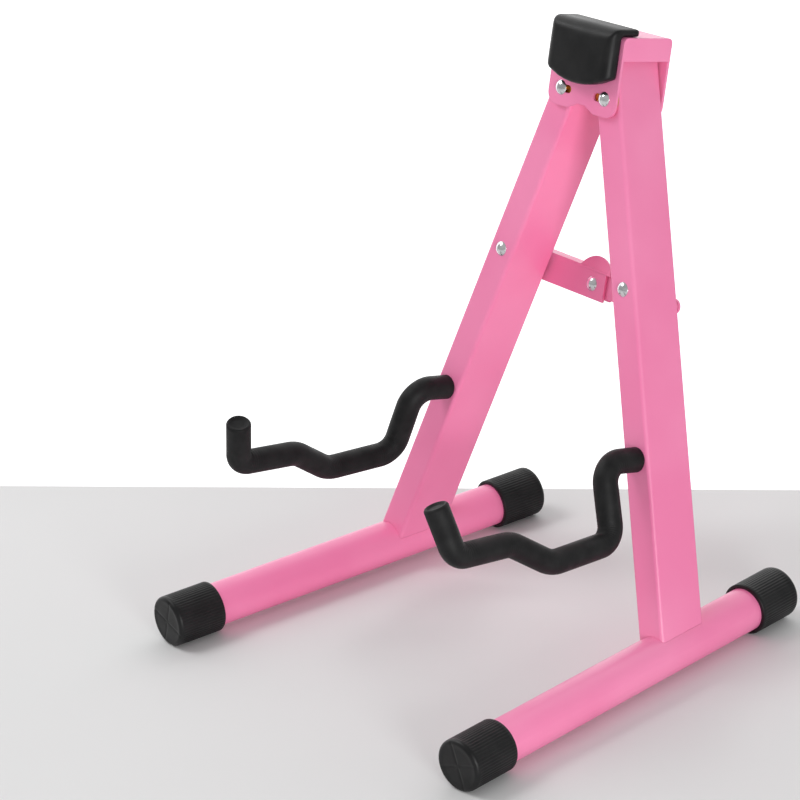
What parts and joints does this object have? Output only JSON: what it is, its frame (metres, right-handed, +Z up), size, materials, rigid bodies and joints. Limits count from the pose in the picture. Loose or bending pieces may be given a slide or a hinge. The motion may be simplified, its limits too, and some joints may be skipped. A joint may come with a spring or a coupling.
{
  "type": "guitar stand",
  "caption": "Folding A-frame guitar stand with padded yoke arms, round foot tubes with rubber caps, a cushioned head bracket and a two-link locking brace.",
  "frame": {"origin": "middle of the stand's box, on the floor that the rubber caps stand on", "axes": "+Z up, -Y the way the yoke arms point, +X across to the right as seen from the front"},
  "size_m": [0.2766, 0.2676, 0.3391],
  "materials": {
    "pink_paint": "smooth satin powder coat",
    "black_rubber": "matt, lightly creased",
    "black_foam": "matt foam sleeve, finely wrinkled at the bends",
    "bright_steel": "bright domed rivets",
    "zinc_steel": "zinc-plated steel",
    "black_paint": "black lacquer",
    "brass": "plain brass washer"
  },
  "bodies": {
    "head": {"head_bracket": "pink_paint", "head_cushion": "black_rubber"},
    "left_slider": {"left_pivot_rivet": "bright_steel", "left_pivot_washer": "brass", "left_pivot_sleeve": "zinc_steel"},
    "right_slider": {"right_pivot_rivet": "bright_steel", "right_pivot_washer": "brass", "right_pivot_sleeve": "zinc_steel"},
    "left_leg": {"left_leg": "pink_paint", "left_foot_tube": "pink_paint", "left_front_cap": "black_rubber", "left_rear_cap": "black_rubber", "left_yoke_rod": "black_paint", "left_yoke_sleeve": "black_foam", "left_yoke_nut": "zinc_steel", "left_brace_lug": "zinc_steel", "left_lug_rivet": "bright_steel", "left_brace_pin": "bright_steel"},
    "right_leg": {"right_leg": "pink_paint", "right_foot_tube": "pink_paint", "right_front_cap": "black_rubber", "right_rear_cap": "black_rubber", "right_yoke_rod": "black_paint", "right_yoke_sleeve": "black_foam", "right_yoke_nut": "zinc_steel", "right_brace_lug": "zinc_steel", "right_lug_rivet": "bright_steel"},
    "brace_outer": {"brace_outer_link": "pink_paint", "brace_mid_rivet": "bright_steel"},
    "brace_inner": {"brace_inner_link": "pink_paint", "brace_end_pin": "bright_steel"}
  },
  "joints": [
    {"name": "left_fold", "type": "hinge", "parent": "left_slider", "child": "left_leg", "pos_m": [-0.017, 0.10741, 0.29531], "axis": [0, -0.9707, 0.2402], "range_deg": [0, 16.95]},
    {"name": "left_slot", "type": "slide", "parent": "head", "child": "left_slider", "axis": [1, 0, 0], "range_m": [0, 0.006]},
    {"name": "right_slot", "type": "slide", "parent": "head", "child": "right_slider", "axis": [-1, 0, 0], "range_m": [0, 0.006]},
    {"name": "right_fold", "type": "hinge", "parent": "right_slider", "child": "right_leg", "pos_m": [0.017, 0.10741, 0.29531], "axis": [0, 0.9707, -0.2402], "range_deg": [0, 16.95]},
    {"name": "outer_link_turn", "type": "hinge", "parent": "left_leg", "child": "brace_outer", "pos_m": [-0.0525, 0.08101, 0.18862], "axis": [0, -0.9707, 0.2402], "range_deg": [0, 101.28]},
    {"name": "inner_link_turn", "type": "hinge", "parent": "brace_outer", "child": "brace_inner", "pos_m": [-0.00802, 0.08065, 0.18717], "axis": [0, 0.9707, -0.2402], "range_deg": [0, 160.87]}
  ],
  "couplings": [
    {"joint": "left_slot", "follows": "left_fold", "m_per_rad": 0.020282},
    {"joint": "right_slot", "follows": "left_fold", "m_per_rad": 0.020282},
    {"joint": "right_fold", "follows": "left_fold", "ratio": 1},
    {"joint": "outer_link_turn", "follows": "left_fold", "ratio": 5.9745},
    {"joint": "inner_link_turn", "follows": "left_fold", "ratio": 9.4903}
  ]
}
